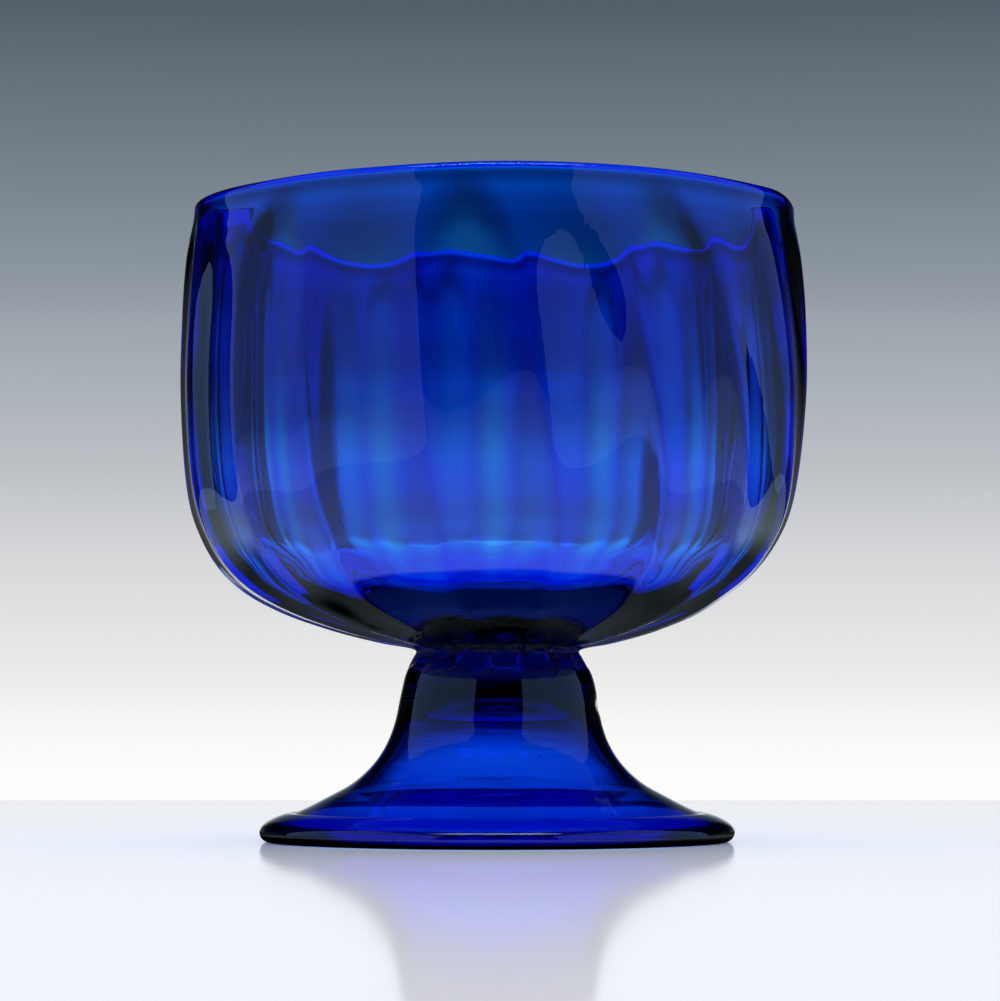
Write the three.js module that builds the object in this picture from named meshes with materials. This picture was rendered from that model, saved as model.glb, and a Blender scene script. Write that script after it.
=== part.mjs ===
// A footed sugar bowl of deep blue glass, blown in a ribbed mould and finished by hand.
// It has three pieces, joined while hot: the ribbed bowl, a short solid stem and a hollow foot.
// Sizes are in millimetres. +Z is up, the axis is x = y = 0, and the foot stands on z = 0.
import * as THREE from "three";

// Heights of the joins and of the lip
const LIP_Z = 124;
const BOWL_STEM_Z = 36.8;
const STEM_FOOT_Z = 27.2;

// The bowl. Its outside is measured over the ribs, and each pair is a radius and a height.
const BOWL_BASE_RADIUS = 16.2;
const BOWL_OUTSIDE = [
  [BOWL_BASE_RADIUS, 37.2],
  [23, 38.4],
  [32.2, 40.9],
  [41.8, 44.7],
  [50.5, 50.5],
  [56.2, 58.2],
  [59.4, 68],
  [61.1, 86],
  [60.8, 102],
  [60.1, 112],
  [59.2, 118],
  [58.4, 122],
];
const BOWL_INSIDE = [
  [56.3, 121.5],
  [57.75, 112],
  [58.5, 97],
  [58.7, 82],
  [57.55, 70],
  [53.9, 58.5],
  [48.5, 52],
  [41, 47.6],
  [28.8, 44.2],
  [14, 42.85],
  [0, 42],
];
const LIP_CENTRE_RADIUS = 57.45;
const LIP_ROUND = 1.1;

// The ribs: soft ridges with a hollow flute between each two, ending in round arches under the lip.
// The flutes fade out under their arches, over a long and a short way in turn.
const RIBS = 18;
const FLUTE_DEPTH = 0.8;
const FLUTE_DEPTH_SHARE_AT_AXIS = 0.7;
const FLUTE_FULL_DEPTH_RADIUS = 61;
const RIDGE_SOFTNESS = 0.3;
const ARCH_TOP_Z = 122.5;
const ARCH_DROP = 7;
const ARCH_FADE = 18;
const ARCH_FADE_SWING = 8;

// Hand work turned the ribs a little between lip and stem, and drew them together on one side.
const TURN_AT_LIP = THREE.MathUtils.degToRad(3.4);
const TURN_AT_MIDDLE = THREE.MathUtils.degToRad(9);
const TURN_AT_STEM = THREE.MathUtils.degToRad(13.5);
const CROWDING_AT_LIP = 0.154;
const CROWDING_AT_MIDDLE = -0.01;
const CROWDING_AT_STEM = -0.07;

// The stem: a solid waist, with the rib ends fading out on it and the broken pontil mark below
const RIB_END_Z = 33;
const STEM_OUTSIDE = [
  [19.25, STEM_FOOT_Z],
  [18.4, 31.2],
  [17.5, 33.6],
  [16.5, 35.6],
  [15.9, BOWL_STEM_Z],
];
const HOLLOW_TOP_RADIUS = 14.9;
const STEM_UNDERSIDE = [
  [0, 29.35],
  [2.6, 29.3],
  [4.4, 28.75],
  [7.5, 28.4],
  [11, 27.9],
  [HOLLOW_TOP_RADIUS, STEM_FOOT_Z],
];

// The foot: a hollow trumpet whose edge is folded under to a thick round rim
const FOOT_OUTSIDE = [
  [38.8, 5.75],
  [33.9, 8],
  [28.2, 11.1],
  [24.3, 14.6],
  [21.6, 18.6],
  [20, 23],
  [19.25, STEM_FOOT_Z],
];
const FOLD_TOP = [42.2, 4.75];
const FOLD_CENTRE = [43.95, 2.25];
const FOLD_HALF_WIDTH = 2;
const REST_INNER_RADIUS = 40.2;
const FOOT_HOLLOW = [
  [HOLLOW_TOP_RADIUS, STEM_FOOT_Z],
  [17.2, 24],
  [18.8, 20],
  [21, 16],
  [24.3, 12],
  [28.45, 9],
  [33.85, 6],
  [37.2, 3.6],
  [39.3, 1.8],
  [REST_INNER_RADIUS, 0],
];

// Steps round the axis: ribbed pieces have a whole number of steps to each rib
const STEPS_PER_RIB = 6;
const STEM_STEPS_PER_RIB = 4;
const FOOT_STEPS = 60;

const ribPitch = (2 * Math.PI) / RIBS;

// Points on a smooth curve through the given radius and height pairs.
function curvePoints(pairs, steps) {
  const knots = pairs.map(([radius, height]) => new THREE.Vector2(radius, height));
  return new THREE.SplineCurve(knots).getPoints(steps);
}

// Points on an elliptical arc, with its angles in degrees from the outward direction.
function arcPoints(centre, halfWidth, halfHeight, fromDegrees, toDegrees, steps) {
  const from = THREE.MathUtils.degToRad(fromDegrees);
  const to = THREE.MathUtils.degToRad(toDegrees);
  const clockwise = to < from;
  const arc = new THREE.EllipseCurve(centre[0], centre[1], halfWidth, halfHeight, from, to, clockwise);
  return arc.getPoints(steps);
}

function turned(profile, steps) {
  return new THREE.LatheGeometry(profile, steps).rotateX(Math.PI / 2);
}

// A parabola of the height, through the values at the stem's top, at half height and at the lip.
function atHeight(height, stemValue, middleValue, lipValue) {
  const share = (height - BOWL_STEM_Z) / (LIP_Z - BOWL_STEM_Z);
  const bulge = middleValue - (stemValue + lipValue) / 2;
  return THREE.MathUtils.lerp(stemValue, lipValue, share) + 4 * share * (1 - share) * bulge;
}

// The angle round the axis of a place counted in ribs: whole numbers are ridges, halves are flutes.
function ribAngle(place, height) {
  const turn = atHeight(height, TURN_AT_STEM, TURN_AT_MIDDLE, TURN_AT_LIP);
  const crowding = atHeight(height, CROWDING_AT_STEM, CROWDING_AT_MIDDLE, CROWDING_AT_LIP);
  const even = place * ribPitch + turn;
  let angle = even;
  for (let pass = 0; pass < 12; pass += 1) {
    angle = even - crowding * Math.sin(angle);
  }
  return angle;
}

// How far the mould pressed the wall in, from 0 on a ridge to the full depth along a flute.
function fluteDepth(place, radius, height) {
  const wave = Math.sin(Math.PI * place);
  const across = Math.abs(wave);
  const soft = Math.hypot(across, RIDGE_SOFTNESS) - RIDGE_SOFTNESS;
  const section = soft / (Math.hypot(1, RIDGE_SOFTNESS) - RIDGE_SOFTNESS);
  const archZ = ARCH_TOP_Z - ARCH_DROP * (1 - across);
  const underLip = THREE.MathUtils.smoothstep(archZ - height, 0, ARCH_FADE + ARCH_FADE_SWING * wave);
  const aboveEnd = THREE.MathUtils.smoothstep(height, RIB_END_Z, BOWL_STEM_Z);
  const atRadius = THREE.MathUtils.lerp(FLUTE_DEPTH_SHARE_AT_AXIS, 1, radius / FLUTE_FULL_DEPTH_RADIUS);
  return FLUTE_DEPTH * atRadius * section * underLip * aboveEnd;
}

// Turns each column of a turned body along the ribs, and presses the flutes into its outside rows.
function pressRibs(geometry, profile, outsideRows, stepsPerRib) {
  const corners = geometry.getAttribute("position");
  for (let index = 0; index < corners.count; index += 1) {
    const row = index % profile.length;
    const place = Math.floor(index / profile.length) / stepsPerRib;
    const { x: radius, y: height } = profile[row];
    const outside = row >= outsideRows.first && row <= outsideRows.last;
    const reach = radius - (outside ? fluteDepth(place, radius, height) : 0);
    const angle = ribAngle(place, height);
    corners.setXY(index, reach * Math.sin(angle), -reach * Math.cos(angle));
  }
  geometry.computeVertexNormals();
  return geometry;
}

function glass() {
  return new THREE.MeshStandardMaterial({ color: 0x0a2fae, roughness: 0.04, metalness: 0 });
}

function piece(name, geometry) {
  const mesh = new THREE.Mesh(geometry, glass());
  mesh.name = name;
  return mesh;
}

function makeBowl() {
  const outside = curvePoints(BOWL_OUTSIDE, 16);
  const lip = arcPoints([LIP_CENTRE_RADIUS, LIP_Z - LIP_ROUND], LIP_ROUND, LIP_ROUND, -20, 200, 4);
  const inside = curvePoints(BOWL_INSIDE, 10);
  const base = [new THREE.Vector2(0, BOWL_STEM_Z), new THREE.Vector2(BOWL_BASE_RADIUS, BOWL_STEM_Z)];
  const profile = [...base, ...outside, ...lip, ...inside];
  const outsideRows = { first: 1, last: base.length + outside.length - 1 };
  const geometry = turned(profile, RIBS * STEPS_PER_RIB);
  return piece("bowl", pressRibs(geometry, profile, outsideRows, STEPS_PER_RIB));
}

function makeStem() {
  const underside = STEM_UNDERSIDE.map(([radius, height]) => new THREE.Vector2(radius, height));
  const outside = curvePoints(STEM_OUTSIDE, 5);
  const profile = [...underside, ...outside, new THREE.Vector2(0, BOWL_STEM_Z)];
  const outsideRows = { first: underside.length, last: underside.length + outside.length - 1 };
  const geometry = turned(profile, RIBS * STEM_STEPS_PER_RIB);
  return piece("stem", pressRibs(geometry, profile, outsideRows, STEM_STEPS_PER_RIB));
}

function makeFoot() {
  const rest = new THREE.Vector2(REST_INNER_RADIUS, 0);
  const fold = arcPoints(FOLD_CENTRE, FOLD_HALF_WIDTH, FOLD_CENTRE[1], -90, 75, 5);
  const foldTop = new THREE.Vector2(...FOLD_TOP);
  const outside = curvePoints(FOOT_OUTSIDE, 9);
  const hollow = curvePoints(FOOT_HOLLOW, 9);
  const profile = [rest, ...fold, foldTop, ...outside, ...hollow];
  return piece("foot", turned(profile, FOOT_STEPS));
}

const sugarBowl = new THREE.Group();
sugarBowl.add(makeBowl(), makeStem(), makeFoot());

export default sugarBowl;
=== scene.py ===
# %% [markdown]
# # A footed sugar bowl of cobalt blue glass
# This lesson dresses a bowl that was already built as three plain solids: a bowl, a stem and a
# foot. Blender gives it what the plain solids lack: smooth surfaces, the soft ribs of the mould,
# the marks of hand work, and glass that bends and colours the light.
# We start by loading the plain model, which fixes the size and the place of every piece.

# %% Load the frame
import math

import bpy
import numpy as np
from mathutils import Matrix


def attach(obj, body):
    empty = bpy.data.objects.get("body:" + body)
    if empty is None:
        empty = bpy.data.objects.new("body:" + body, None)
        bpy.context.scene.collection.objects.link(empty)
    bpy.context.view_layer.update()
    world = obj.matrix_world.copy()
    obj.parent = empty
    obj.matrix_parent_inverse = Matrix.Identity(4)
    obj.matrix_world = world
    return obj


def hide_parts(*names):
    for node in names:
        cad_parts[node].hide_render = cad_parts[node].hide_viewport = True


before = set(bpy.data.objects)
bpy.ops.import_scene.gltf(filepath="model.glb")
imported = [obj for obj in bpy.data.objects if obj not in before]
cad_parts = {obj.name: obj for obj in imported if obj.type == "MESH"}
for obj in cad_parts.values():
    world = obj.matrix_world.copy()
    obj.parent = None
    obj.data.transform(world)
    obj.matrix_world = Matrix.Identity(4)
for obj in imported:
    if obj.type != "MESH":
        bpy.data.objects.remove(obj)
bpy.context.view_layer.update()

# %% [markdown]
# ## Small helpers
# Blender works in metres and in linear light, while a maker thinks in millimetres and picks
# colours as they look on a screen. Two short helpers translate. The third adds a node to any
# node tree, sets its properties and feeds its inputs, so that long trees stay readable.

# %% Units, colours and nodes
MM = 0.001


def linear(hex_colour):
    """A colour such as "1A2B3C", as it looks on a screen, in the linear light that shaders use."""
    channels = [int(hex_colour[i:i + 2], 16) / 255 for i in (0, 2, 4)]
    bent = [c / 12.92 if c <= 0.04045 else ((c + 0.055) / 1.055) ** 2.4 for c in channels]
    return (*bent, 1.0)


def add_node(tree, kind, feeds=None, **settings):
    """Adds a node, sets its properties, and feeds its inputs with values, sockets or nodes."""
    node = tree.nodes.new(kind)
    for name, value in settings.items():
        setattr(node, name, value)
    for key, value in (feeds or {}).items():
        if isinstance(value, bpy.types.Node):
            value = value.outputs[0]
        if isinstance(value, bpy.types.NodeSocket):
            tree.links.new(value, node.inputs[key])
        else:
            node.inputs[key].default_value = value
    return node


# %% [markdown]
# ## The outline of the glass
# Blown glass has no straight lines, so its outline is a smooth curve through a few measured
# points. Each point is a radius and a height in millimetres. One curve runs up the whole outside,
# from the fold of the foot to the lip, so that the pieces meet without a step, and each piece
# takes its own stretch of it. The inside of the bowl and the hollow of the foot have their own.

# %% Points of the outline
STEM_TOP = 36.8
FOOT_TOP = 27.2
LIP_HEIGHT = 124
OUTSIDE = [
    (39.5, 5.4), (36.4, 6.75), (31.6, 9.3), (28.2, 11.1), (24.3, 14.6), (21.6, 18.6), (20, 23),
    (19.25, FOOT_TOP),
    (18.4, 31.2), (17.5, 33.6), (16.4, 35.7),
    (15.9, STEM_TOP),
    (17.6, 37.45), (23, 38.4), (32.2, 40.9), (41.8, 44.7), (50.5, 50.5), (56.2, 58.2), (59.4, 68),
    (60.95, 86), (60.75, 102), (60.1, 112), (59.3, 117), (58.6, 120.5), (58.45, 122.8),
]
OUTSIDE_FOOT = slice(0, 8)
OUTSIDE_STEM = slice(7, 12)
OUTSIDE_BOWL = slice(11, 25)
BOWL_INSIDE = [
    (55.9, 122.8), (56.1, 120.5), (56.6, 117), (57.4, 112), (58.2, 104), (58.6, 93), (58.75, 82),
    (57.57, 70), (54.3, 58.3), (48.95, 51.7), (41.4, 47.3), (28.8, 44.1), (14, 42.85), (0, 42),
]
FOOT_FOLD = [
    (41.2, 0.05), (43.7, 0), (44.8, 0.2), (45.6, 0.85), (45.9, 1.9), (45.55, 2.95), (44.4, 3.95),
    (42.4, 4.95), (40.5, 5.55), (39.5, 5.4),
]
HOLLOW_EDGE = 14.9
FOOT_HOLLOW = [
    (HOLLOW_EDGE, FOOT_TOP), (17.2, 24), (18.8, 20), (21, 16), (24.3, 12), (28.45, 9), (33.85, 6),
    (37.2, 3.6), (39.6, 1.7), (40.4, 0.5), (41.2, 0.05),
]
STEM_UNDERSIDE = [
    (0, 29.3), (2.2, 29.22), (4.2, 28.97), (7.5, 28.5), (11, 27.93), (13.4, 27.55),
    (HOLLOW_EDGE, FOOT_TOP),
]


def smooth_curve(knots, stretch, spacing):
    """Points about spacing apart on a Catmull-Rom curve through knots, for one stretch of them."""
    knots = np.array(knots, float)
    padded = np.vstack([knots[:1], knots, knots[-1:]])
    first, last = stretch.start, stretch.stop - 1
    points = [knots[first]]
    for index in range(first, last):
        before, start, end, after = padded[index:index + 4]
        steps = max(1, math.ceil(np.linalg.norm(end - start) / spacing))
        for t in np.linspace(0, 1, steps + 1)[1:]:
            bend_in, bend_out = (end - before) / 2, (after - start) / 2
            points.append(
                (2 * t ** 3 - 3 * t ** 2 + 1) * start + (t ** 3 - 2 * t ** 2 + t) * bend_in
                + (3 * t ** 2 - 2 * t ** 3) * end + (t ** 3 - t ** 2) * bend_out)
    return np.array(points)


whole = slice(0, len(OUTSIDE))
print("outside curve has", len(smooth_curve(OUTSIDE, whole, 1.0)), "points at 1 mm")

# %% [markdown]
# ## A turned shell
# A piece of glass is turned from its profile: the profile is copied round the axis and
# neighbouring copies are joined with faces. Where the profile touches the axis all copies share
# one point, so that the pole is closed. The shell must be closed and its faces must point out,
# because Cycles fills the inside with coloured glass.
# Each point also stores its place round the axis, counted in ribs, and its radius and height on
# the profile. The rib mould below reads these attributes.

# %% Turn a profile into a closed shell
RIBS = 18
COLUMNS_PER_RIB = 16
CROWD_COLUMNS = 0.6
POLE_RADIUS = 1e-6


def rib_places(columns_per_rib):
    """Places round the axis, counted in ribs, with the columns crowded towards the ridges."""
    even = np.arange(RIBS * columns_per_rib) / columns_per_rib
    return even - CROWD_COLUMNS * np.sin(2 * math.pi * even) / (2 * math.pi)


def turned_shell(name, profile, pressed, places):
    """A closed mesh turned from a profile that goes up the outside and comes back inside."""
    columns = len(places)
    corners, rows, faces = [], [], []
    for (radius, height), is_pressed in zip(profile, pressed):
        on_axis = radius < POLE_RADIUS
        span = places[:1] if on_axis else places
        rows.append((len(corners), on_axis))
        corners.extend((radius, height, place, is_pressed) for place in span)
    rows_after = rows[1:] + rows[:1]
    for (low, low_pole), (high, high_pole) in zip(rows, rows_after):
        for column in range(columns):
            beside = (column + 1) % columns
            if low_pole and high_pole:
                continue
            if low_pole:
                faces.append((low, high + beside, high + column))
            elif high_pole:
                faces.append((low + column, low + beside, high))
            else:
                faces.append((low + column, low + beside, high + beside, high + column))
    corners = np.array(corners)
    turn = corners[:, 2] * 2 * math.pi / RIBS
    mesh = bpy.data.meshes.new(name)
    radius = corners[:, 0] * MM
    height = corners[:, 1] * MM
    spots = np.column_stack([radius * np.sin(turn), -radius * np.cos(turn), height])
    mesh.from_pydata(spots.tolist(), [], faces)
    for column, attribute in enumerate(("radius", "height", "place", "pressed")):
        scale = MM if attribute in ("radius", "height") else 1
        layer = mesh.attributes.new(attribute, "FLOAT", "POINT")
        layer.data.foreach_set("value", (corners[:, column] * scale).astype(np.float32))
    mesh.shade_smooth()
    piece = bpy.data.objects.new(name, mesh)
    bpy.context.scene.collection.objects.link(piece)
    return piece


# %% [markdown]
# ## The three profiles
# The pieces are welded hot in the real bowl, so light passes the joins unseen. Two closed meshes
# that only touch would mirror light at the join, and a gap would mirror it completely. So each
# profile reaches a hair past its join into the neighbour: the ray then enters the next glass
# before it leaves the last, which bends it almost as one body does.
# A curve through measured points still has small jumps in its bend, and in a thin glass wall they
# show as dark bands. So the curves of the foot are relaxed: each point moves a little towards the
# middle of its neighbours, a few times over.

# %% Profiles of bowl, stem and foot
JOIN_OVERLAP = 0.03
JOIN_INSET = 0.03
JOIN_RING = 8
SUPPORT_GAP = 0.05
WALL_SPACING, INSIDE_SPACING = 0.9, 1.5
STEM_SPACING, FOOT_SPACING, FOLD_SPACING = 0.5, 0.7, 0.35
LIP_STEPS = 10
LIP_FULLNESS = 0.9
INNER_WAVE = 0.17
INNER_WAVE_START, INNER_WAVE_FULL = 6, 20
RELAX_PASSES = 12


def lip_points(outer, inner):
    """The fire-polished lip: a half round from the top of the outside to the top of the inside."""
    centre = (outer[0] + inner[0]) / 2
    half = (outer[0] - inner[0]) / 2
    turns = np.linspace(0, math.pi, LIP_STEPS + 1)[1:-1]
    rise = (LIP_HEIGHT - outer[1]) * np.sin(turns) ** LIP_FULLNESS
    return np.column_stack([centre + half * np.cos(turns), outer[1] + rise])


def with_support(points, at_start, at_end):
    """Adds a row of points close to an end, so that smooth shading stays true up to the join."""
    for wanted, end, neighbour, before in ((at_start, 0, 1, 1), (at_end, -1, -2, -1)):
        if wanted:
            step = points[neighbour] - points[end]
            support = points[end] + step * SUPPORT_GAP / np.linalg.norm(step)
            points = np.insert(points, before, support, axis=0)
    return points


def relaxed(points):
    """Evens out the bends of a curve and keeps its ends, so that light passes without dark gaps."""
    points = points.copy()
    for _ in range(RELAX_PASSES):
        points[1:-1] = points[1:-1] / 2 + (points[:-2] + points[2:]) / 4
    return points


def bowl_profile():
    """The bowl's profile, and how far the mould presses each row: fully outside, faintly inside."""
    outside = with_support(smooth_curve(OUTSIDE, OUTSIDE_BOWL, WALL_SPACING), True, False)
    inside = smooth_curve(BOWL_INSIDE, slice(0, len(BOWL_INSIDE)), INSIDE_SPACING)
    lip = lip_points(outside[-1], inside[0])
    low = STEM_TOP - JOIN_OVERLAP
    base = [(0, low), (JOIN_RING, low), (outside[0][0] - JOIN_INSET, low)]
    profile = np.vstack([base, outside, lip, inside])
    pressed = np.zeros(len(profile))
    pressed[len(base) - 1:len(base) + len(outside)] = 1
    within = slice(len(base) + len(outside) + len(lip), None)
    from_axis = (profile[within, 0] - INNER_WAVE_START) / (INNER_WAVE_FULL - INNER_WAVE_START)
    pressed[within] = INNER_WAVE * np.clip(from_axis, 0, 1)
    return profile, pressed


def stem_profile():
    """The stem's profile. The mould presses its outside, where the rib ends fade out."""
    outside = with_support(smooth_curve(OUTSIDE, OUTSIDE_STEM, STEM_SPACING), True, True)
    under = smooth_curve(STEM_UNDERSIDE, slice(0, len(STEM_UNDERSIDE)), STEM_SPACING)
    under = with_support(under, False, True)
    low = FOOT_TOP - JOIN_OVERLAP
    high = STEM_TOP + JOIN_OVERLAP
    join = [(HOLLOW_EDGE + JOIN_INSET, low), (outside[0][0] - JOIN_INSET, low)]
    top = [(outside[-1][0] - JOIN_INSET, high), (JOIN_RING, high), (0, high)]
    profile = np.vstack([under, join, outside, top])
    pressed = np.zeros(len(profile))
    first = len(under) + len(join)
    pressed[first:first + len(outside) + 1] = 1
    return profile, pressed


def foot_profile():
    """The foot's profile: round the fold, up the outside, and down again through the hollow."""
    fold = smooth_curve(FOOT_FOLD, slice(0, len(FOOT_FOLD)), FOLD_SPACING)
    outside = relaxed(smooth_curve(OUTSIDE, OUTSIDE_FOOT, FOOT_SPACING))
    outside = with_support(outside, False, True)
    hollow = relaxed(smooth_curve(FOOT_HOLLOW, slice(0, len(FOOT_HOLLOW)), FOOT_SPACING))
    hollow = with_support(hollow, True, False)
    high = FOOT_TOP + JOIN_OVERLAP
    join = [(outside[-1][0] - JOIN_INSET, high), (HOLLOW_EDGE + JOIN_INSET, high)]
    profile = np.vstack([fold, outside[1:], join, hollow[:-1]])
    profile[:, 1] = np.maximum(profile[:, 1], 0)
    return profile, np.zeros(len(profile))


places = rib_places(COLUMNS_PER_RIB)
bowl = turned_shell("ribbed_bowl", *bowl_profile(), places)
stem = turned_shell("solid_stem", *stem_profile(), places)
foot = turned_shell("folded_foot", *foot_profile(), places)
for piece in (bowl, stem, foot):
    print(piece.name, "has", len(piece.data.polygons), "faces")

# %% [markdown]
# ## The rib mould
# The glassmaker blew the bowl into a ribbed mould, then opened it by hand. The mould left 18 soft
# ridges with a hollow flute between each two, and the hand work turned them a little and drew
# them together on one side. One rib strayed further than the rest. That is a rule, so a Geometry
# Nodes tree presses it into the shells: every size is a named input, and the same tree serves
# the bowl and the top of the stem.

# %% Build the rib mould
MOULD_SIZES = {
    "Ribs": RIBS, "Flute Depth": 1.2 * MM, "Depth Share At Axis": 1.45,
    "Full Depth Radius": 61 * MM, "Ridge Softness": 0.28, "Softness At Axis": 0.1,
    "Arch Top": 122.5 * MM, "Arch Drop": 7 * MM, "Arch Fade": 18 * MM, "Arch Fade Swing": 8 * MM,
    "Rib End": 33 * MM, "Stem Top": STEM_TOP * MM, "Lip": LIP_HEIGHT * MM,
    "Turn At Lip": math.radians(3.4), "Turn At Middle": math.radians(9),
    "Turn At Stem": math.radians(13.5), "Crowding At Lip": 0.154, "Crowding At Middle": -0.01,
    "Crowding At Stem": -0.07, "Stray Rib": 16, "Stray Turn": math.radians(-2.4),
}
CROWDING_PASSES = 7


def mould_tree():
    """A tree that turns and presses the shell's points, with a named input for each size."""
    tree = bpy.data.node_groups.new("rib mould", "GeometryNodeTree")
    tree.interface.new_socket("Geometry", in_out="INPUT", socket_type="NodeSocketGeometry")
    for name in MOULD_SIZES:
        tree.interface.new_socket(name, in_out="INPUT", socket_type="NodeSocketFloat")
    tree.interface.new_socket("Glass", in_out="INPUT", socket_type="NodeSocketMaterial")
    tree.interface.new_socket("Geometry", in_out="OUTPUT", socket_type="NodeSocketGeometry")
    size = tree.nodes.new("NodeGroupInput").outputs
    maths = "ShaderNodeMath"
    spread = "ShaderNodeMapRange"
    read = "GeometryNodeInputNamedAttribute"
    radius = add_node(tree, read, {"Name": "radius"})
    height = add_node(tree, read, {"Name": "height"})
    place = add_node(tree, read, {"Name": "place"})
    pressed = add_node(tree, read, {"Name": "pressed"})

    up = add_node(tree, spread, {
        "Value": height, "From Min": size["Stem Top"], "From Max": size["Lip"]}, clamp=False)
    to_go = add_node(tree, maths, {0: 1.0, 1: up}, operation="SUBTRACT")
    half_way = add_node(tree, maths, {0: up, 1: to_go}, operation="MULTIPLY")
    bowed = add_node(tree, maths, {0: half_way, 1: 4.0}, operation="MULTIPLY")

    def through(name):
        """A parabola of the height through the values at the stem, at mid height and at the lip."""
        at_stem, at_lip = size[name + " At Stem"], size[name + " At Lip"]
        straight = add_node(tree, spread, {
            "Value": up, "To Min": at_stem, "To Max": at_lip}, clamp=False)
        ends = add_node(tree, maths, {0: at_stem, 1: at_lip}, operation="ADD")
        mean = add_node(tree, maths, {0: ends, 1: 0.5}, operation="MULTIPLY")
        bulge = add_node(tree, maths, {0: size[name + " At Middle"], 1: mean}, operation="SUBTRACT")
        return add_node(tree, maths, {0: bowed, 1: bulge, 2: straight}, operation="MULTIPLY_ADD")

    turn = through("Turn")
    crowding = through("Crowding")
    pitch = add_node(tree, maths, {0: 2 * math.pi, 1: size["Ribs"]}, operation="DIVIDE")
    from_stray = add_node(tree, maths, {0: place, 1: size["Stray Rib"]}, operation="SUBTRACT")
    distance = add_node(tree, maths, {0: from_stray}, operation="ABSOLUTE")
    nearness = add_node(tree, maths, {0: 1.0, 1: distance}, operation="SUBTRACT", use_clamp=True)
    stray = add_node(tree, maths, {0: nearness, 1: bowed}, operation="MULTIPLY")
    strayed = add_node(tree, maths, {0: stray, 1: size["Stray Turn"], 2: turn},
                       operation="MULTIPLY_ADD")
    even = add_node(tree, maths, {0: place, 1: pitch, 2: strayed}, operation="MULTIPLY_ADD")
    against = add_node(tree, maths, {0: crowding, 1: -1.0}, operation="MULTIPLY")
    angle = even
    for _ in range(CROWDING_PASSES):
        sine = add_node(tree, maths, {0: angle}, operation="SINE")
        angle = add_node(tree, maths, {0: sine, 1: against, 2: even}, operation="MULTIPLY_ADD")

    half_turns = add_node(tree, maths, {0: place, 1: math.pi}, operation="MULTIPLY")
    wave = add_node(tree, maths, {0: half_turns}, operation="SINE")
    across = add_node(tree, maths, {0: wave}, operation="ABSOLUTE")
    softness = add_node(tree, spread, {
        "Value": radius, "From Min": 0.0, "From Max": size["Full Depth Radius"],
        "To Min": size["Softness At Axis"], "To Max": size["Ridge Softness"]})
    soft_squared = add_node(tree, maths, {0: softness, 1: 2.0}, operation="POWER")
    sections = []
    for reach in (across, 1.0):
        squared = add_node(tree, maths, {0: reach, 1: 2.0}, operation="POWER")
        summed = add_node(tree, maths, {0: squared, 1: soft_squared}, operation="ADD")
        root = add_node(tree, maths, {0: summed}, operation="SQRT")
        sections.append(add_node(tree, maths, {0: root, 1: softness}, operation="SUBTRACT"))
    section = add_node(tree, maths, {0: sections[0], 1: sections[1]}, operation="DIVIDE")

    beside = add_node(tree, maths, {0: 1.0, 1: across}, operation="SUBTRACT")
    drop = add_node(tree, maths, {0: beside, 1: size["Arch Drop"]}, operation="MULTIPLY")
    arch = add_node(tree, maths, {0: size["Arch Top"], 1: drop}, operation="SUBTRACT")
    below_arch = add_node(tree, maths, {0: arch, 1: height}, operation="SUBTRACT")
    fade = add_node(tree, maths, {0: wave, 1: size["Arch Fade Swing"], 2: size["Arch Fade"]},
                    operation="MULTIPLY_ADD")
    under_lip = add_node(tree, spread, {
        "Value": below_arch, "From Min": 0.0, "From Max": fade}, interpolation_type="SMOOTHSTEP")
    above_end = add_node(tree, spread, {
        "Value": height, "From Min": size["Rib End"], "From Max": size["Stem Top"]},
        interpolation_type="SMOOTHSTEP")
    at_radius = add_node(tree, spread, {
        "Value": radius, "From Min": 0.0, "From Max": size["Full Depth Radius"],
        "To Min": size["Depth Share At Axis"], "To Max": 1.0}, clamp=False)
    depth = size["Flute Depth"]
    for share in (section, under_lip, above_end, at_radius, pressed):
        depth = add_node(tree, maths, {0: depth, 1: share}, operation="MULTIPLY")

    reach = add_node(tree, maths, {0: radius, 1: depth}, operation="SUBTRACT")
    sine = add_node(tree, maths, {0: angle}, operation="SINE")
    cosine = add_node(tree, maths, {0: angle}, operation="COSINE")
    back = add_node(tree, maths, {0: reach, 1: -1.0}, operation="MULTIPLY")
    x = add_node(tree, maths, {0: reach, 1: sine}, operation="MULTIPLY")
    y = add_node(tree, maths, {0: back, 1: cosine}, operation="MULTIPLY")
    spot = add_node(tree, "ShaderNodeCombineXYZ", {"X": x, "Y": y, "Z": height})
    moved = add_node(tree, "GeometryNodeSetPosition", {
        "Geometry": size["Geometry"], "Position": spot})
    real = add_node(tree, "GeometryNodeRealizeInstances", {"Geometry": moved})
    finished = add_node(tree, "GeometryNodeSetMaterial", {
        "Geometry": real, "Material": size["Glass"]})
    add_node(tree, "NodeGroupOutput", {"Geometry": finished})
    return tree


rib_mould = mould_tree()
print("the rib mould has", len(rib_mould.nodes), "nodes")

# %% [markdown]
# ## Cobalt glass
# Cobalt oxide colours glass right through: the colour is in the body, not on the surface, so a
# thin wall is bright blue and a thick stem is nearly black. Volume absorption does just that. The
# surface is fire-polished, clear and smooth. Hand-made glass also has cords, faint streaks
# where the melt wasn't even, and tiny seeds, which are bubbles no bigger than a pin's point.
# Each piece came from its own gather, so each has its own tint. The cords run up the wall of the
# bowl, and lie round the stem and the foot, where they are stronger.

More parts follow.
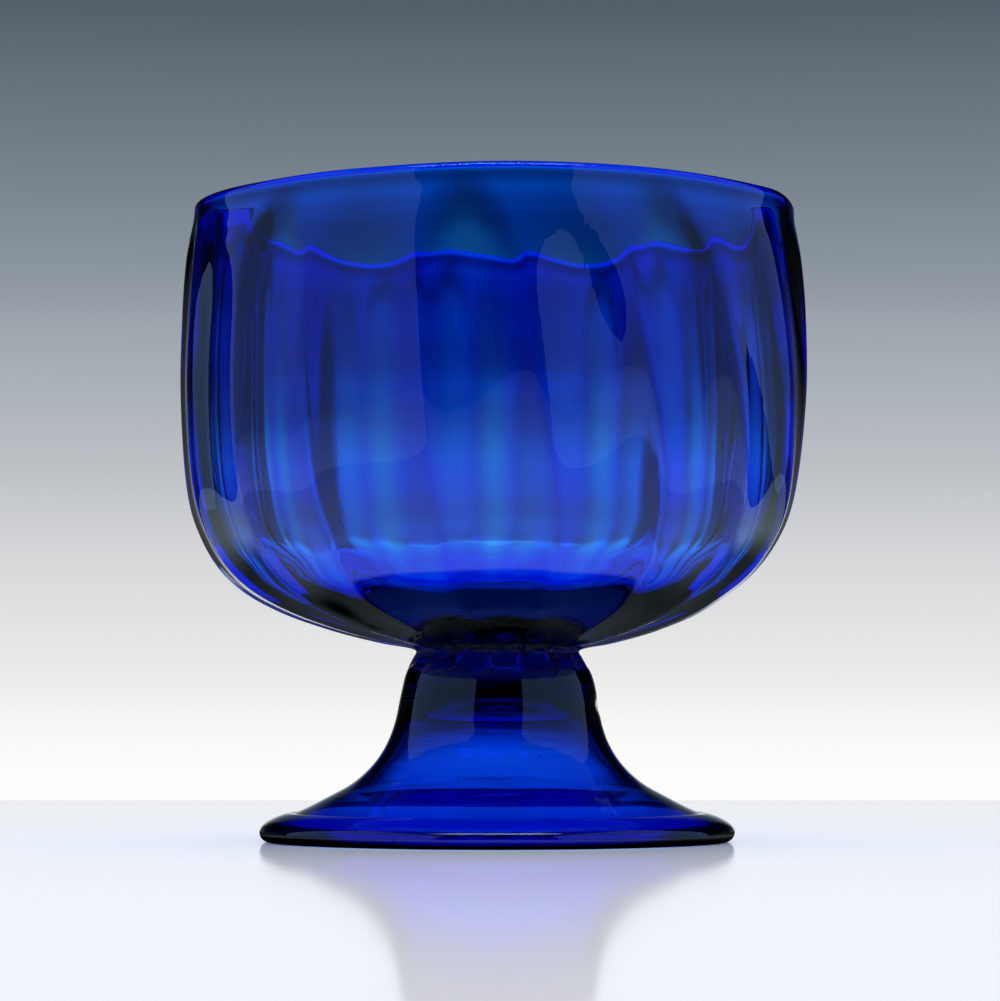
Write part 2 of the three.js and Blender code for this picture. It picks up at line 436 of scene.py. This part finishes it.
# %% Make the glass
GLASS_IOR = 1.55
GLASS_DENSITY = 2500.0
GLASS_TINT = (0.0, 0.68, 0.982, 1.0)
STEM_TINT = (0.0, 0.56, 0.95, 1.0)
FOOT_TINT = (0.0, 0.70, 0.96, 1.0)
WALL_CORDS = {"Scale": (1, 1, 0.13), "Rotation": (0, math.radians(-4), 0)}
STEM_CORDS = {"Scale": (0.16, 0.16, 1.6), "Rotation": (0, math.radians(7), 0)}
CORD_DETAIL, CORD_DISTORTION = 2.0, 0.6
SEED_SPACING = 12 * MM
SEED_RADIUS = 0.3 * MM
RELIEF_HEIGHT = 0.4 * MM


def cobalt_glass(name, tint, cord_shape, cord_size, cord_strength):
    """Fire-polished cobalt glass: coloured in its body, with cords and seeds in its surface."""
    material = bpy.data.materials.new(name)
    material.use_nodes = True
    tree = material.node_tree
    tree.nodes.clear()
    spot = add_node(tree, "ShaderNodeTexCoord")
    stretched = add_node(tree, "ShaderNodeMapping", {
        "Vector": spot.outputs["Object"], **cord_shape})
    cords = add_node(tree, "ShaderNodeTexNoise", {
        "Vector": stretched, "Scale": 1 / cord_size, "Detail": CORD_DETAIL,
        "Distortion": CORD_DISTORTION})
    bubbles = add_node(tree, "ShaderNodeTexVoronoi", {
        "Vector": spot.outputs["Object"], "Scale": 1 / SEED_SPACING})
    seeds = add_node(tree, "ShaderNodeMapRange", {
        "Value": bubbles.outputs["Distance"], "From Min": SEED_RADIUS / SEED_SPACING,
        "From Max": 0.0}, interpolation_type="SMOOTHSTEP")
    relief = add_node(tree, "ShaderNodeMath", {0: cords.outputs["Fac"], 1: seeds}, operation="ADD")
    bump = add_node(tree, "ShaderNodeBump", {
        "Height": relief, "Strength": cord_strength, "Distance": RELIEF_HEIGHT})
    surface = add_node(tree, "ShaderNodeBsdfPrincipled", {
        "Base Color": (1, 1, 1, 1), "Roughness": 0.0, "IOR": GLASS_IOR, "Transmission Weight": 1.0,
        "Normal": bump})
    body = add_node(tree, "ShaderNodeVolumeAbsorption", {"Color": tint, "Density": GLASS_DENSITY})
    add_node(tree, "ShaderNodeOutputMaterial", {"Surface": surface, "Volume": body})
    return material


def hot_weld(name, tint):
    """The same glass where two pieces are welded: no surface is left there for light to meet."""
    material = bpy.data.materials.new(name)
    material.use_nodes = True
    tree = material.node_tree
    tree.nodes.clear()
    surface = add_node(tree, "ShaderNodeBsdfPrincipled", {
        "Base Color": (1, 1, 1, 1), "Roughness": 0.0, "IOR": GLASS_IOR, "Transmission Weight": 1.0,
        "Alpha": 0.0})
    body = add_node(tree, "ShaderNodeVolumeAbsorption", {"Color": tint, "Density": GLASS_DENSITY})
    add_node(tree, "ShaderNodeOutputMaterial", {"Surface": surface, "Volume": body})
    return material


finishes = {
    "wall": (cobalt_glass("cobalt_glass", GLASS_TINT, WALL_CORDS, 6 * MM, 0.07),
             hot_weld("cobalt_glass_weld", GLASS_TINT)),
    "stem": (cobalt_glass("dense_cobalt_glass", STEM_TINT, STEM_CORDS, 8 * MM, 0.2),
             hot_weld("dense_cobalt_glass_weld", STEM_TINT)),
    "foot": (cobalt_glass("streaky_cobalt_glass", FOOT_TINT, STEM_CORDS, 8 * MM, 0.3),
             hot_weld("streaky_cobalt_glass_weld", FOOT_TINT)),
}
print("glass made:", [material.name for pair in finishes.values() for material in pair])

# %% [markdown]
# ## Press the ribs
# The tree runs as a modifier. Its inputs are set by their identifiers, then the evaluated result
# becomes a plain mesh and the modifier goes, so that the finished pieces hold only real faces.

# %% Run the mould on each shell
WELD_TOLERANCE = 0.002


def press(piece, glass):
    """Presses the ribs into one shell and keeps the result as its plain mesh."""
    modifier = piece.modifiers.new("rib mould", "NODES")
    modifier.node_group = rib_mould
    for item in rib_mould.interface.items_tree:
        if item.in_out == "INPUT" and item.name in MOULD_SIZES:
            modifier[item.identifier] = float(MOULD_SIZES[item.name])
        elif item.in_out == "INPUT" and item.name == "Glass":
            modifier[item.identifier] = glass
    evaluated = piece.evaluated_get(bpy.context.evaluated_depsgraph_get())
    plain = bpy.data.meshes.new_from_object(evaluated)
    piece.modifiers.clear()
    piece.data = plain
    plain.shade_smooth()


def weld_faces(piece, weld):
    """Gives the flat faces at a join the weld's finish, and returns how many there are."""
    mesh = piece.data
    mesh.materials.append(weld)
    joins = [(top + side * JOIN_OVERLAP) * MM for top in (STEM_TOP, FOOT_TOP) for side in (-1, 1)]
    welded = 0
    for face in mesh.polygons:
        heights = [mesh.vertices[index].co.z for index in face.vertices]
        off_joins = [max(abs(height - join) for height in heights) for join in joins]
        if min(off_joins) < WELD_TOLERANCE * MM:
            face.material_index = 1
            welded += 1
    return welded


for piece, finish in ((bowl, "wall"), (stem, "stem"), (foot, "foot")):
    glass, weld = finishes[finish]
    press(piece, glass)
    welded = weld_faces(piece, weld)
    print(piece.name, "pressed:", len(piece.data.vertices), "points,", welded, "faces at welds")

# %% [markdown]
# ## Hand work
# No hand-made bowl is true. The maker's tools left the stem and foot a millimetre to one side of
# the bowl, a shallow dent above the foot, and a lip that dips by up to a millimetre and has one
# low place. The mould tree can't know that, so the finished points are moved in code, with soft
# curves, and all three pieces alike, so that they still meet.
# The shift is given against the height, and the dip of the lip against the angle round the axis
# in degrees, with 0 at the front. Lengths are in millimetres.

# %% Shift, dent and wave the pieces
CENTRE_SHIFT = [
    (0, 0.78), (20, 0.95), (30, 1.17), (38, 0.95), (47, -0.97), (60, -0.4), (86, -0.04),
    (124, 0.27),
]
LIP_WAVE = [
    (-180, -0.1), (-140, -0.5), (-100, -0.45), (-84, -0.7), (-66, -0.9), (-54, -1.0), (-46, -1.0),
    (-32, -0.65), (-20, -0.5), (-8, -0.2), (0, -0.05), (9, 0), (20, -0.05), (30, -0.1), (42, -0.3),
    (52, -0.45), (60, -0.4), (67, -0.15), (74, -0.45), (80, -0.95), (90, -1.15), (104, -0.65),
    (125, -0.2), (150, 0), (180, -0.1),
]
WAVE_START, WAVE_FULL = 100, 121
DENT_TURN, DENT_HEIGHT, DENT_DEPTH = 84, 26.2, 0.4
DENT_WIDTH, DENT_TALL = 9, 1.3
DENT_BEYOND_RADIUS = 17.5
FINE_STEPS = 720
SOFT_REACH = 14


def soft_between(values, at):
    """Values between the given pairs, with a smooth bend at each pair."""
    fine = np.linspace(values[0][0], values[-1][0], FINE_STEPS + 1)
    straight = np.pad(np.interp(fine, *zip(*values)), SOFT_REACH, mode="edge")
    kernel = np.hanning(2 * SOFT_REACH + 1)
    smooth = np.convolve(straight, kernel / kernel.sum(), mode="valid")
    return np.interp(at, fine, smooth)


def work_by_hand(piece):
    """Moves a piece's points as the maker's hands did, and returns the longest move in mm."""
    mesh = piece.data
    points = np.empty(len(mesh.vertices) * 3)
    mesh.vertices.foreach_get("co", points)
    points = points.reshape(-1, 3) / MM
    x, y, z = points.T
    radius = np.hypot(x, y)
    turn = np.degrees(np.arctan2(x, -y))
    rise = np.clip((z - WAVE_START) / (WAVE_FULL - WAVE_START), 0, 1)
    lift = soft_between(LIP_WAVE, turn) * rise ** 2 * (3 - 2 * rise)
    off_turn, off_height = (turn - DENT_TURN) / DENT_WIDTH, (z - DENT_HEIGHT) / DENT_TALL
    dent = DENT_DEPTH * np.exp(-off_turn ** 2 - off_height ** 2) * (radius > DENT_BEYOND_RADIUS)
    keep = 1 - dent / np.maximum(radius, 1)
    moved = np.column_stack([x * keep + soft_between(CENTRE_SHIFT, z), y * keep, z + lift])
    mesh.vertices.foreach_set("co", (moved * MM).astype(np.float32).ravel())
    mesh.update()
    return np.linalg.norm(moved - points, axis=1).max()


for piece in (bowl, stem, foot):
    print(piece.name, "moved by up to", round(float(work_by_hand(piece)), 2), "mm")

# %% [markdown]
# ## The table
# The bowl stands on a pale, glossy table. It is real size, so its far edge lies where the eye
# expects it. The table mirrors at a flat angle and hardly at all from above, as any gloss does.
# Light that passes through blue glass tints what lies near it, and the bowl shades the table round
# it. Tracing that would take very many rays, so this light and shade is painted into the table's
# finish as glowing colour, in soft bands by the distance from the bowl's axis. For what is seen
# through the glass there is painted blue light under the foot, a painted shade round it and pale
# light further out. For what the glass mirrors there is a painted contact shade at the foot and a
# painted shadow behind the bowl. For the eye there is a faint painted blue glow, with a thin
# painted bright line in front of the foot.

# %% Make the table
TABLE_LEFT, TABLE_RIGHT = -2.5, 2.5
TABLE_NEAR, TABLE_FAR = -3.0, 0.326
TABLE_THICK = 0.02
BODY_IOR, GLOSS_IOR = 1.03, 1.49
BODY_COLOUR = "F3F4F9"
GLOSS_COLOUR = (0.9, 0.92, 0.95, 1)
GLOSS_ROUGHNESS = 0.08
# Painted light of the table as seen through the glass: blue under the foot, pale round it.
PAINTED_BLUE_UNDER_FOOT, PAINTED_PALE_AROUND_FOOT = (0.02, 0.2, 0.85, 1), (0.97, 0.99, 1, 1)
TINT_NEAR, TINT_FAR = 0.042, 0.05
# Painted colour of the table as the glass mirrors it.
PAINTED_REFLECTION_COLOUR = (0.66, 0.86, 1, 1)
# Painted blue glow of light that came through the glass, where the camera sees the table.
GLOW_COLOUR = (0.25, 0.5, 1, 1)
# Painted light and shade: shade under and round the foot, contact shade, blue glow, bright line.
BANDS = {        # two distances from the axis in metres, and the level at each
    "under": (0.046, 0.05, 0.8, 0.45),
    "around": (0.055, 0.11, 0.0, 0.55),
    "contact": (0.0465, 0.053, 0.0, 1.0),
    "blue glow": (0.044, 0.17, 0.09, 0.0),
    "bright line": (0.046, 0.052, 0.35, 0.0),
}
FRONT_START, FRONT_FULL = -0.02, -0.045
# A painted shadow behind the bowl, in what the glass mirrors.
SHADOW_CENTRE = (0, 0.14, 0)
SHADOW_BAND = (0.13, 0.19, 0.1, 1.0)


def table_top():
    """A closed slab with its top at the height on which the foot stands."""
    corners = [(x, y, z) for z in (-TABLE_THICK, 0) for y in (TABLE_NEAR, TABLE_FAR)
               for x in (TABLE_LEFT, TABLE_RIGHT)]
    faces = [(0, 2, 3, 1), (4, 5, 7, 6), (0, 1, 5, 4), (1, 3, 7, 5), (3, 2, 6, 7), (2, 0, 4, 6)]
    mesh = bpy.data.meshes.new("table")
    mesh.from_pydata(corners, [], faces)
    table = bpy.data.objects.new("table", mesh)
    bpy.context.scene.collection.objects.link(table)
    mesh.materials.append(table_finish_with_painted_light())
    return table


def table_finish_with_painted_light():
    """Polished white acrylic sheet: a matt white body under a clear gloss. Painted light and shade
    stand in for what the glass sees of it, and a painted blue glow lies round the foot.
    """
    material = bpy.data.materials.new("acrylic_sheet_and_painted_light")
    material.use_nodes = True
    tree = material.node_tree
    tree.nodes.clear()
    maths = "ShaderNodeMath"
    body_share = add_node(tree, "ShaderNodeFresnel", {"IOR": BODY_IOR})
    gloss_share = add_node(tree, "ShaderNodeFresnel", {"IOR": GLOSS_IOR})
    body = add_node(tree, "ShaderNodeBsdfDiffuse", {"Color": linear(BODY_COLOUR)})
    nothing = add_node(tree, "ShaderNodeBsdfDiffuse", {"Color": (0, 0, 0, 1)})
    gloss = add_node(tree, "ShaderNodeBsdfAnisotropic", {
        "Color": GLOSS_COLOUR, "Roughness": GLOSS_ROUGHNESS})
    seen_body = add_node(tree, "ShaderNodeMixShader", {0: body_share, 1: body, 2: nothing})
    seen_gloss = add_node(tree, "ShaderNodeMixShader", {0: gloss_share, 1: nothing, 2: gloss})
    surface = add_node(tree, "ShaderNodeAddShader", {0: seen_body, 1: seen_gloss})

    spot = add_node(tree, "ShaderNodeTexCoord")
    flat = add_node(tree, "ShaderNodeVectorMath", {
        0: spot.outputs["Object"], 1: (1, 1, 0)}, operation="MULTIPLY")
    reach = add_node(tree, "ShaderNodeVectorMath", {0: flat}, operation="LENGTH")
    behind = add_node(tree, "ShaderNodeVectorMath", {
        0: flat, 1: SHADOW_CENTRE}, operation="DISTANCE")
    from_axis = reach.outputs["Value"]
    measures = {name: (from_axis, *band) for name, band in BANDS.items()}
    measures["shadow"] = (behind.outputs["Value"], *SHADOW_BAND)
    level = {}
    for name, (distance, near, far, at_near, at_far) in measures.items():
        level[name] = add_node(tree, "ShaderNodeMapRange", {
            "Value": distance, "From Min": near, "From Max": far, "To Min": at_near,
            "To Max": at_far}, interpolation_type="SMOOTHSTEP")

    # Painted light for what the glass sees: blue under the foot, a painted shade ring, pale beyond.
    shade = add_node(tree, maths, {0: level["under"], 1: level["around"]}, operation="ADD")
    beyond_foot = add_node(tree, "ShaderNodeMapRange", {
        "Value": from_axis, "From Min": TINT_NEAR, "From Max": TINT_FAR})
    painted_light_colour = add_node(tree, "ShaderNodeMix", {
        "Factor": beyond_foot, "A": PAINTED_BLUE_UNDER_FOOT, "B": PAINTED_PALE_AROUND_FOOT}, data_type="RGBA")
    painted_through_glass = add_node(tree, "ShaderNodeEmission", {
        "Color": painted_light_colour.outputs["Result"], "Strength": shade})

    # Painted reflection of the table in the glass, with painted contact shade and painted shadow.
    lit = add_node(tree, maths, {0: level["contact"], 1: level["shadow"]}, operation="MULTIPLY")
    matt = add_node(tree, maths, {0: 1.0, 1: gloss_share}, operation="SUBTRACT")
    mirrored_level = add_node(tree, maths, {0: lit, 1: matt}, operation="MULTIPLY")
    painted_reflection = add_node(tree, "ShaderNodeEmission", {
        "Color": PAINTED_REFLECTION_COLOUR, "Strength": mirrored_level})

    # A painted blue glow round the foot and a painted bright line in front of it, for the camera.
    apart = add_node(tree, "ShaderNodeSeparateXYZ", {"Vector": flat})
    in_front = add_node(tree, "ShaderNodeMapRange", {
        "Value": apart.outputs["Y"], "From Min": FRONT_START, "From Max": FRONT_FULL},
        interpolation_type="SMOOTHSTEP")
    glow_level = add_node(tree, maths, {
        0: level["bright line"], 1: in_front, 2: level["blue glow"]}, operation="MULTIPLY_ADD")
    glow = add_node(tree, "ShaderNodeEmission", {"Color": GLOW_COLOUR, "Strength": glow_level})
    seen = add_node(tree, "ShaderNodeAddShader", {0: surface, 1: glow})

    rays = add_node(tree, "ShaderNodeLightPath")
    mirror_ray = add_node(tree, maths, {
        0: rays.outputs["Is Reflection Ray"], 1: rays.outputs["Is Diffuse Ray"]},
        operation="SUBTRACT", use_clamp=True)
    seen_or_mirrored = add_node(tree, "ShaderNodeMixShader", {0: mirror_ray, 1: seen, 2: painted_reflection})
    chosen = add_node(tree, "ShaderNodeMixShader", {
        0: rays.outputs["Is Transmission Ray"], 1: seen_or_mirrored, 2: painted_through_glass})
    add_node(tree, "ShaderNodeOutputMaterial", {"Surface": chosen})
    return material


table = table_top()
print("table made,", TABLE_FAR - TABLE_NEAR, "m deep")

# %% [markdown]
# ## The studio
# The backdrop is white at the table and fades to blue grey above. The camera sees it, and so does
# every ray that passes through glass. Diffuse rays get a plain even light instead, which sets the
# level at which colours look as they are written. The room in front of the bowl is dark.
# Clear glass shows its form by what it bends and mirrors, so glass rays also meet eight dark
# upright flags round the room, which draw the ribs as dark lines, and a bright ceiling, which
# lights the thick glass from above. Two tall softboxes give the pale haze on each side of the
# bowl, and a top light gives the fine lines on the lip and the fold. These lamps are linked to
# the glass alone, which keeps their mirror images off the table.

# %% Light the studio
BACKDROP = [
    (-8, "F0F1F4"), (-1.3, "FDFDFC"), (0.2, "EFEFEE"), (3.3, "C6C9CD"), (6.5, "939CA5"),
    (11, "545F6A"), (30, "30363F"),
]
RAMP_LOW, RAMP_HIGH = -10, 40
PLAIN_LEVEL = 1.0
FRONT_ROOM = 0.04
ROOM_DARK, ROOM_LIGHT = 0.85, 0.97
FLAGS = 8
FLAG_START, FLAG_FULL = 9.5, 14.5
FLAG_LEVEL = 0.12
CEILING_LOW, CEILING_HIGH, CEILING_LEVEL = 30, 40, 1.0


def studio_world():
    """The backdrop and room as the camera, the glass and matt surfaces each meet them."""
    world = bpy.data.worlds.new("studio")
    bpy.context.scene.world = world
    world.use_nodes = True
    tree = world.node_tree
    tree.nodes.clear()
    maths = "ShaderNodeMath"
    direction = add_node(tree, "ShaderNodeTexCoord")
    parts = add_node(tree, "ShaderNodeSeparateXYZ", {"Vector": direction.outputs["Generated"]})
    climb = add_node(tree, maths, {0: parts.outputs["Z"]}, operation="ARCSINE")
    share = add_node(tree, "ShaderNodeMapRange", {
        "Value": climb, "From Min": math.radians(RAMP_LOW), "From Max": math.radians(RAMP_HIGH)})
    ramp = add_node(tree, "ShaderNodeValToRGB", {"Fac": share})
    ramp.color_ramp.interpolation = "CARDINAL"
    stops = ramp.color_ramp.elements
    for index, (degrees, colour) in enumerate(BACKDROP):
        position = (degrees - RAMP_LOW) / (RAMP_HIGH - RAMP_LOW)
        stop = stops[index] if index < 2 else stops.new(position)
        stop.position = position
        stop.color = linear(colour)
    rays = add_node(tree, "ShaderNodeLightPath")
    room = add_node(tree, "ShaderNodeMapRange", {
        "Value": parts.outputs["Y"], "From Min": ROOM_DARK, "From Max": ROOM_LIGHT,
        "To Min": FRONT_ROOM, "To Max": 1.0}, interpolation_type="SMOOTHSTEP")
    mirrored = add_node(tree, "ShaderNodeMix", {
        "Factor": rays.outputs["Is Reflection Ray"], 2: 1.0, 3: room}, data_type="FLOAT")
    azimuth = add_node(tree, maths, {0: parts.outputs["Y"], 1: parts.outputs["X"]},
                       operation="ARCTAN2")
    turns = add_node(tree, maths, {0: azimuth, 1: float(FLAGS)}, operation="MULTIPLY")
    lobes = add_node(tree, maths, {0: turns}, operation="COSINE")
    between_flags = add_node(tree, "ShaderNodeMapRange", {
        "Value": lobes, "From Min": math.cos(math.radians(FLAG_FULL * FLAGS)),
        "From Max": math.cos(math.radians(FLAG_START * FLAGS)), "To Min": FLAG_LEVEL,
        "To Max": 1.0}, interpolation_type="SMOOTHSTEP")
    in_glass = add_node(tree, maths, {0: mirrored, 1: between_flags}, operation="MULTIPLY")
    level = add_node(tree, "ShaderNodeMix", {
        "Factor": rays.outputs["Is Camera Ray"], 2: in_glass, 3: 1.0}, data_type="FLOAT")
    seen = add_node(tree, "ShaderNodeBackground", {
        "Color": ramp.outputs["Color"], "Strength": level})
    plain = add_node(tree, "ShaderNodeBackground", {
        "Color": (1, 1, 1, 1), "Strength": PLAIN_LEVEL})
    overhead = add_node(tree, "ShaderNodeMapRange", {
        "Value": climb, "From Min": math.radians(CEILING_LOW),
        "From Max": math.radians(CEILING_HIGH), "To Min": 0.0, "To Max": CEILING_LEVEL},
        interpolation_type="SMOOTHSTEP")
    ceiling_level = add_node(tree, maths, {
        0: overhead, 1: rays.outputs["Is Transmission Ray"]}, operation="MULTIPLY")
    ceiling = add_node(tree, "ShaderNodeBackground", {
        "Color": (1, 1, 1, 1), "Strength": ceiling_level})
    seen_room = add_node(tree, "ShaderNodeAddShader", {0: seen, 1: ceiling})
    chosen = add_node(tree, "ShaderNodeMixShader", {
        0: rays.outputs["Is Diffuse Ray"], 1: seen_room, 2: plain})
    add_node(tree, "ShaderNodeOutputWorld", {"Surface": chosen})
    return world


SOFTBOX_X = 0.30
SOFTBOX_NEAR, SOFTBOX_FAR = -0.564, 0.14
SOFTBOX_HEIGHT = 0.5
SOFTBOX_RADIANCE = 0.75
SOFTBOX_COLOUR = (0.26, 0.43, 0.86)
TOP_LIGHT_PLACE = (0, -0.30, 0.62)
TOP_LIGHT_TILT = math.radians(-25)
TOP_LIGHT_WIDTH, TOP_LIGHT_DEPTH = 0.50, 0.26
TOP_LIGHT_RADIANCE = 4.0
TOP_LIGHT_COLOUR = (0.75, 0.9, 1.0)


def soft_light(name, width, depth, radiance, colour, place, turn):
    """A rectangular lamp of a given brightness. Only its mirror image in the glass is seen."""
    light = bpy.data.lights.new(name, "AREA")
    light.shape = "RECTANGLE"
    light.size = width
    light.size_y = depth
    light.energy = radiance * math.pi * width * depth
    light.color = colour
    lamp = bpy.data.objects.new(name, light)
    lamp.location = place
    lamp.rotation_euler = turn
    lamp.visible_camera = False
    lamp.visible_diffuse = False
    lamp.light_linking.receiver_collection = glass_pieces
    bpy.context.scene.collection.objects.link(lamp)
    return lamp


def softbox(name, side):
    """A tall soft light beside the bowl, hidden from rays that come through the glass."""
    middle = (SOFTBOX_FAR + SOFTBOX_NEAR) / 2
    lamp = soft_light(
        name, SOFTBOX_FAR - SOFTBOX_NEAR, SOFTBOX_HEIGHT, SOFTBOX_RADIANCE, SOFTBOX_COLOUR,
        (side * SOFTBOX_X, middle, SOFTBOX_HEIGHT / 2), (math.pi / 2, 0, side * math.pi / 2))
    lamp.visible_transmission = False
    return lamp


def top_light():
    """A small soft light above and in front, for the fine bright lines on the lip and the fold."""
    return soft_light(
        "top_light", TOP_LIGHT_WIDTH, TOP_LIGHT_DEPTH, TOP_LIGHT_RADIANCE, TOP_LIGHT_COLOUR,
        TOP_LIGHT_PLACE, (TOP_LIGHT_TILT, 0, 0))


glass_pieces = bpy.data.collections.new("glass pieces")
for piece in (bowl, stem, foot):
    glass_pieces.objects.link(piece)
studio_world()
lamps = [softbox("softbox_left", -1), softbox("softbox_right", 1), top_light()]

# %% [markdown]
# ## The camera
# A long lens stands low, just above the table, and looks up a little, as product photographs do.
# The view transform is Standard, so that colours come out as they are written.

# %% Place the camera
CAMERA_PLACE = (0.00136, -0.7078, 0.0252)
CAMERA_PITCH = math.radians(3.305)
LENS_MM, SENSOR_MM = 131.09, 36
camera_data = bpy.data.cameras.new("camera")
camera_data.lens = LENS_MM
camera_data.sensor_width = SENSOR_MM
camera = bpy.data.objects.new("camera", camera_data)
camera.location = CAMERA_PLACE
camera.rotation_euler = (math.pi / 2 + CAMERA_PITCH, 0, 0)
bpy.context.scene.collection.objects.link(camera)
bpy.context.scene.camera = camera
bpy.context.scene.view_settings.view_transform = "Standard"
print("camera at", CAMERA_PLACE)

# %% [markdown]
# ## One body
# Every piece rides on the one body and stands for its plain solid, which is hidden.

# %% Attach the pieces and hide the plain solids
for piece, node in ((bowl, "bowl"), (stem, "stem"), (foot, "foot")):
    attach(piece, "root")
    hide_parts(node)
